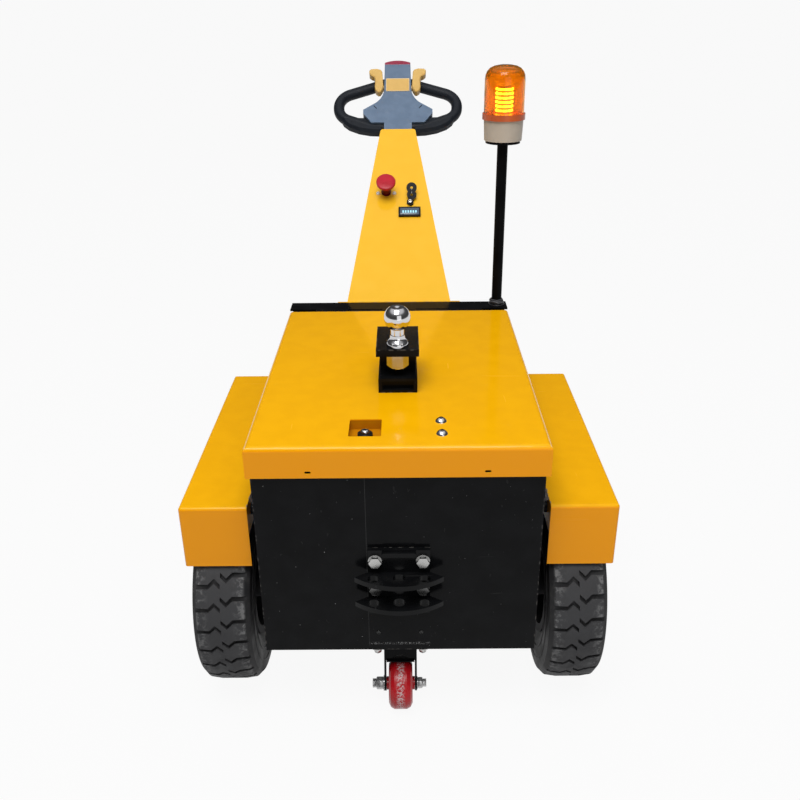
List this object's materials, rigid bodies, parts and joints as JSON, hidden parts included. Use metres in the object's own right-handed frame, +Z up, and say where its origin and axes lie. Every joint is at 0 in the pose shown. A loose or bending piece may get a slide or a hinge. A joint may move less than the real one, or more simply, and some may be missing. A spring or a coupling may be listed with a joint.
{
  "type": "electric tow tractor",
  "caption": "Walk-behind electric tow tractor: a hooded tub on pneumatic drive wheels and castors, with tow ball and clevis, tiller arm with loop handle and amber beacon.",
  "frame": {"origin": "on the floor, under the middle of the machine's box", "axes": "+Z up, +Y from the tow hitch to the handle, +X to the right when looking along +Y"},
  "size_m": [0.8, 1.4408, 1.162],
  "materials": {
    "yellow_paint": "gloss yellow powder coat",
    "black_paint": "gloss black powder coat",
    "seal_rubber": "matt black",
    "battery_case": "moulded dark grey",
    "drive_casting": "dark casting",
    "zinc_steel": "zinc plated",
    "chrome": "polished",
    "red_plastic": "gloss red",
    "black_plastic": "satin black",
    "head_plastic": "satin blue grey",
    "grip_rubber": "satin black",
    "yellow_plastic": "satin yellow",
    "beacon_base_plastic": "warm grey",
    "amber_plastic": "amber",
    "amber_lens": "clear amber",
    "lamp_bars": "lit yellow",
    "tyre_rubber": "dusty dark grey",
    "rim_paint": "black steel",
    "castor_polyurethane": "red polyurethane"
  },
  "bodies": {
    "chassis": {"rear_plate": "black_paint", "side_plate_left": "black_paint", "side_plate_right": "black_paint", "front_plate": "black_paint", "floor_plate": "black_paint", "front_deck": "black_paint", "lid_seal": "seal_rubber", "battery_pack": "battery_case", "drive_unit": "drive_casting", "hitch_clevis": "black_paint", "hitch_bolts": "zinc_steel", "fender_left": "yellow_paint", "fender_right": "yellow_paint", "fender_stays": "black_paint", "castor_pad_rear": "black_paint", "castor_plate_rear": "zinc_steel", "castor_pad_front": "black_paint", "castor_plate_front": "zinc_steel", "arm_foot": "yellow_paint", "tiller_arm": "yellow_paint", "emergency_stop": "red_plastic", "key_switch": "black_plastic", "battery_gauge": "black_plastic", "tiller_head": "head_plastic", "handle_loop": "grip_rubber", "throttle_levers": "yellow_plastic", "belly_button": "red_plastic", "head_label": "yellow_plastic", "beacon_pole": "black_paint", "beacon_base": "beacon_base_plastic", "beacon_collar": "amber_plastic", "beacon_lens": "amber_lens", "beacon_led": "lamp_bars"},
    "lid": {"lid": "yellow_paint", "lid_hinge_leaf": "black_paint", "latch_pan": "yellow_paint", "latch_lock": "black_plastic", "lid_screws": "chrome", "ball_bracket": "black_paint", "tow_ball": "chrome", "ball_nut": "chrome"},
    "wheel_left": {"tyre_left": "tyre_rubber", "rim_left": "rim_paint"},
    "wheel_right": {"tyre_right": "tyre_rubber", "rim_right": "rim_paint"},
    "castor_swivel_rear": {"castor_fork_rear": "zinc_steel"},
    "castor_roll_rear": {"castor_wheel_rear": "castor_polyurethane"},
    "castor_swivel_front": {"castor_fork_front": "zinc_steel"},
    "castor_roll_front": {"castor_wheel_front": "castor_polyurethane"}
  },
  "joints": [
    {"name": "lid_hinge", "type": "hinge", "parent": "chassis", "child": "lid", "pos_m": [0, 0.01359, 0.611], "axis": [-1, 0, 0], "range_deg": [0, 60]},
    {"name": "wheel_left_spin", "type": "hinge", "parent": "chassis", "child": "wheel_left", "pos_m": [-0.336, -0.47541, 0.2], "axis": [1, 0, 0], "continuous": true},
    {"name": "wheel_right_spin", "type": "hinge", "parent": "chassis", "child": "wheel_right", "pos_m": [0.336, -0.47541, 0.2], "axis": [1, 0, 0], "continuous": true},
    {"name": "castor_rear_swivel", "type": "hinge", "parent": "chassis", "child": "castor_swivel_rear", "pos_m": [0, -0.58741, 0.14], "axis": [0, 0, 1], "continuous": true},
    {"name": "castor_rear_spin", "type": "hinge", "parent": "castor_swivel_rear", "child": "castor_roll_rear", "pos_m": [0, -0.62441, 0.05], "axis": [1, 0, 0], "continuous": true},
    {"name": "castor_front_swivel", "type": "hinge", "parent": "chassis", "child": "castor_swivel_front", "pos_m": [0, -0.02741, 0.14], "axis": [0, 0, 1], "continuous": true},
    {"name": "castor_front_spin", "type": "hinge", "parent": "castor_swivel_front", "child": "castor_roll_front", "pos_m": [0, -0.06441, 0.05], "axis": [1, 0, 0], "continuous": true}
  ]
}
